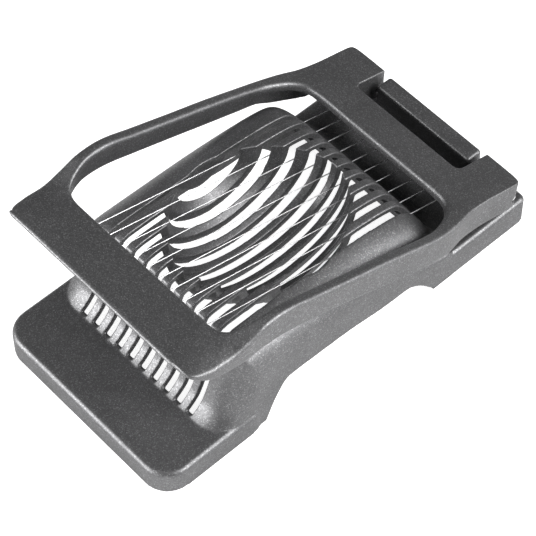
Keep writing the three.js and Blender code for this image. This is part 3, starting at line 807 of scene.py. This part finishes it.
def bar_ring(reach, top):
    """An upright rectangle across the front bar, at one reach from the hinge."""
    sides = ((-BAR_HALF, -ARCH_HEIGHT), (BAR_HALF, -ARCH_HEIGHT), (BAR_HALF, top), (-BAR_HALF, top))
    return [on_lid(x, reach, height) for x, height in sides]


below_bar = loft("below_bar", [bar_ring(0.896 * LID_REACH, BAR_ROOF),
                               bar_ring(0.985 * LID_REACH, BAR_FRONT_TOP - WALL)])
combine(lid, below_bar, "DIFFERENCE")
combine(lid, rod_shape("bore", BORE_RADIUS, LID_HALF), "DIFFERENCE")
print("hollowed lid:", count_triangles(lid), "triangles")

# %% Adding the pegs
REAR_PEG = 18.4
FRONT_PEG = LID_REACH - 9.4
PEG_RADIUS = 1.05
PEG_SIDES = 24


def peg(x, reach, top):
    """A round post that ends just below the wires."""
    turns = [2 * math.pi * k / PEG_SIDES for k in range(PEG_SIDES)]
    circle = [(x + PEG_RADIUS * math.cos(turn), reach + PEG_RADIUS * math.sin(turn)) for turn in turns]
    return lid_prism("peg", circle, WIRE_HEIGHT - 0.7, top)


for x in WIRE_PLACES:
    combine(lid, peg(x - LOOP_RADIUS, REAR_PEG, ROOF + WALL / 2), "UNION")
    combine(lid, peg(x - LOOP_RADIUS, FRONT_PEG, BAR_ROOF + WALL / 4), "UNION")
print("pegs added:", count_triangles(lid), "triangles")

# %% [markdown]
# ## The lip of the front bar
#
# A thin rolled lip runs along the front edge of the bar and ends in a small nub on the left. It could
# be bevelled from the bar's own edge, but it stands a little proud, so it is a round strip of its
# own that is joined on. The whole lid is then softened in one go.

# %% Adding the lip
LIP_LEFT = -36.6
LIP_LENGTH = 68
LIP_RADIUS = 0.75
LIP_END_RADIUS = 0.35
NUB_PLACE = -36
NUB_WIDTH = 0.9
NUB_SWELL = 0.35
LIP_STEPS = 40
LIP_SIDES = 16


def lip_ring(k):
    """One round section of the lip, swollen near its left end and small at both tips."""
    x = LIP_LEFT + LIP_LENGTH * k / LIP_STEPS
    radius = LIP_RADIUS + NUB_SWELL * math.exp(-((x - NUB_PLACE) / NUB_WIDTH) ** 2)
    if k in (0, LIP_STEPS):
        radius = LIP_END_RADIUS
    turns = [2 * math.pi * side / LIP_SIDES for side in range(LIP_SIDES)]
    return [on_lid(x, LID_REACH - 0.3 + radius * math.cos(turn),
                   BAR_FRONT_TOP - 0.9 + radius * math.sin(turn)) for turn in turns]


combine(lid, loft("lip", [lip_ring(k) for k in range(LIP_STEPS + 1)]), "UNION")
soften(lid, voxel=0.25, passes=3)

# %% [markdown]
# ## Wires and hinge rod
#
# Each wire is one piece of drawn steel with a loop at each end, hooked round a peg. A pipe along a
# curve would do, but here the wire's round section is extruded along its path, as wire is drawn. One
# is modelled and copied to ten places. The rod is a round bar with a bevel at its ends.

# %% Ten wires
WIRE_RADIUS = 0.16
WIRE_SIDES = 12
LOOP_STEPS = 18
LOOP_TURN = math.pi * 1.5


def wire_rings():
    """Sections of a wire at x = 0: a loop at the rear, the straight run, a loop in front."""
    rings = []
    turns = [(REAR_PEG, LOOP_TURN * (1 - k / LOOP_STEPS)) for k in range(LOOP_STEPS + 1)]
    turns += [(FRONT_PEG, -LOOP_TURN * k / LOOP_STEPS) for k in range(LOOP_STEPS + 1)]
    for reach, angle in turns:
        across, out = LOOP_RADIUS * (math.cos(angle) - 1), reach - LOOP_RADIUS * math.sin(angle)
        ring = []
        for k in range(WIRE_SIDES):
            turn = 2 * math.pi * k / WIRE_SIDES
            side = WIRE_RADIUS * math.cos(turn)
            ring.append(on_lid(across + side * math.cos(angle), out - side * math.sin(angle),
                               WIRE_HEIGHT + WIRE_RADIUS * math.sin(turn)))
        rings.append(ring)
    return rings


first_wire = loft("wire", wire_rings())
bpy.ops.object.shade_smooth()
wires = []
for number, x in enumerate(WIRE_PLACES, 1):
    wire = first_wire.copy()
    wire.data = first_wire.data.copy()
    wire.name = f"wire_{number:02d}_drawn"
    bpy.context.scene.collection.objects.link(wire)
    wire.data.transform(Matrix.Translation((x * MM, 0, 0)))
    wires.append(wire)
bpy.data.objects.remove(first_wire)
print(len(wires), "wires of", count_triangles(wires[0]), "triangles")

# %% The hinge rod
ROD_LENGTH = 2 * (CHEEK_HALF - 0.8)
rod = rod_shape("hinge_rod_turned", ROD_RADIUS, ROD_LENGTH / 2)
deselect_all()
bpy.context.view_layer.objects.active = rod
end_edge = rod.modifiers.new("end_edge", "BEVEL")
end_edge.width = 0.2 * MM
end_edge.segments = 3
end_edge.limit_method = "ANGLE"
end_edge.angle_limit = math.radians(40)
apply_last(rod)
rod.select_set(True)
bpy.ops.object.shade_smooth_by_angle(angle=math.radians(35))
print("rod", round(ROD_LENGTH, 1), "mm long")

# %% [markdown]
# ## Metals
#
# The castings have a dark grey coat with a fine metallic sparkle. It could be one flat grey, but then
# the metal looks like plastic. So small cells, a few tenths of a millimetre across, get their own
# brightness and tilt, as the flakes in the coat do, and a slow noise varies the gloss. The wires are
# bright drawn steel, with faint lengthwise drawing marks.

# %% Helpers for noise and ramps
def flake_noise(nodes, links, scale, detail=2.0):
    place = nodes.new("ShaderNodeTexCoord")
    noise = nodes.new("ShaderNodeTexNoise")
    noise.inputs["Scale"].default_value = scale
    noise.inputs["Detail"].default_value = detail
    links.new(place.outputs["Object"], noise.inputs["Vector"])
    return noise


def ramp(nodes, links, source, stops):
    """A colour ramp with grey stops, each a place and a value."""
    node = nodes.new("ShaderNodeValToRGB")
    while len(node.color_ramp.elements) < len(stops):
        node.color_ramp.elements.new(0.5)
    for element, (place, value) in zip(node.color_ramp.elements, stops):
        element.position = place
        element.color = (value, value, value * 1.01, 1)
    links.new(source, node.inputs["Fac"])
    return node


# %% The sparkling cast metal
def cast_material():
    material, nodes, links = new_material("sparkling_cast_metal")
    output = nodes.new("ShaderNodeOutputMaterial")
    shader = nodes.new("ShaderNodeBsdfPrincipled")
    shader.inputs["Metallic"].default_value = 0.9
    place = nodes.new("ShaderNodeTexCoord")
    flakes = nodes.new("ShaderNodeTexVoronoi")
    flakes.inputs["Scale"].default_value = 4200
    links.new(place.outputs["Object"], flakes.inputs["Vector"])
    split = nodes.new("ShaderNodeSeparateColor")
    links.new(flakes.outputs["Color"], split.inputs[0])
    tone = ramp(nodes, links, split.outputs["Red"], [(0, 0.145), (0.6, 0.175), (0.9, 0.23), (1, 0.36)])
    cloud = ramp(nodes, links, flake_noise(nodes, links, 90).outputs["Fac"], [(0.3, 0.86), (0.7, 1)])
    shade = nodes.new("ShaderNodeMix")
    shade.data_type = "RGBA"
    shade.blend_type = "MULTIPLY"
    shade.inputs[0].default_value = 1
    links.new(tone.outputs["Color"], shade.inputs[6])
    links.new(cloud.outputs["Color"], shade.inputs[7])
    links.new(shade.outputs[2], shader.inputs["Base Color"])
    gloss = ramp(nodes, links, flake_noise(nodes, links, 1600).outputs["Fac"], [(0.3, 0.42), (0.7, 0.54)])
    links.new(gloss.outputs["Color"], shader.inputs["Roughness"])
    grain = nodes.new("ShaderNodeBump")
    grain.inputs["Strength"].default_value = 0.35
    grain.inputs["Distance"].default_value = 0.04 * MM
    links.new(flake_noise(nodes, links, 2600, 3).outputs["Fac"], grain.inputs["Height"])
    links.new(grain.outputs[0], shader.inputs["Normal"])
    links.new(shader.outputs[0], output.inputs["Surface"])
    return material


# %% The bright steel
def steel_material():
    material, nodes, links = new_material("bright_drawn_steel")
    output = nodes.new("ShaderNodeOutputMaterial")
    shader = nodes.new("ShaderNodeBsdfPrincipled")
    shader.inputs["Metallic"].default_value = 1
    place = nodes.new("ShaderNodeTexCoord")
    stretch = nodes.new("ShaderNodeMapping")
    stretch.inputs["Scale"].default_value = (1, 0.04, 1)
    links.new(place.outputs["Object"], stretch.inputs["Vector"])
    marks = nodes.new("ShaderNodeTexNoise")
    marks.inputs["Scale"].default_value = 5000
    links.new(stretch.outputs[0], marks.inputs["Vector"])
    tone = ramp(nodes, links, marks.outputs["Fac"], [(0.3, 0.8), (0.7, 0.95)])
    links.new(tone.outputs["Color"], shader.inputs["Base Color"])
    gloss = ramp(nodes, links, marks.outputs["Fac"], [(0.3, 0.3), (0.7, 0.42)])
    links.new(gloss.outputs["Color"], shader.inputs["Roughness"])
    links.new(shader.outputs[0], output.inputs["Surface"])
    return material


cast = cast_material()
steel = steel_material()
for name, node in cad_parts.items():
    node.data.materials.clear()
    node.data.materials.append(cast if name in ("base_casting", "lid_frame") else steel)
print("two metals:", cast.name, "and", steel.name)

# %% Dressing the pieces
def dress(piece, node_name, body, material):
    piece.data.materials.clear()
    piece.data.materials.append(material)
    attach(piece, body)
    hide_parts(node_name)


dress(base, "base_casting", "base", cast)
dress(rod, "hinge_rod", "base", steel)
dress(lid, "lid_frame", "lid", cast)
for number, wire in enumerate(wires, 1):
    dress(wire, f"wire_{number:02d}", "lid", steel)
print("dressed", 3 + len(wires), "pieces")
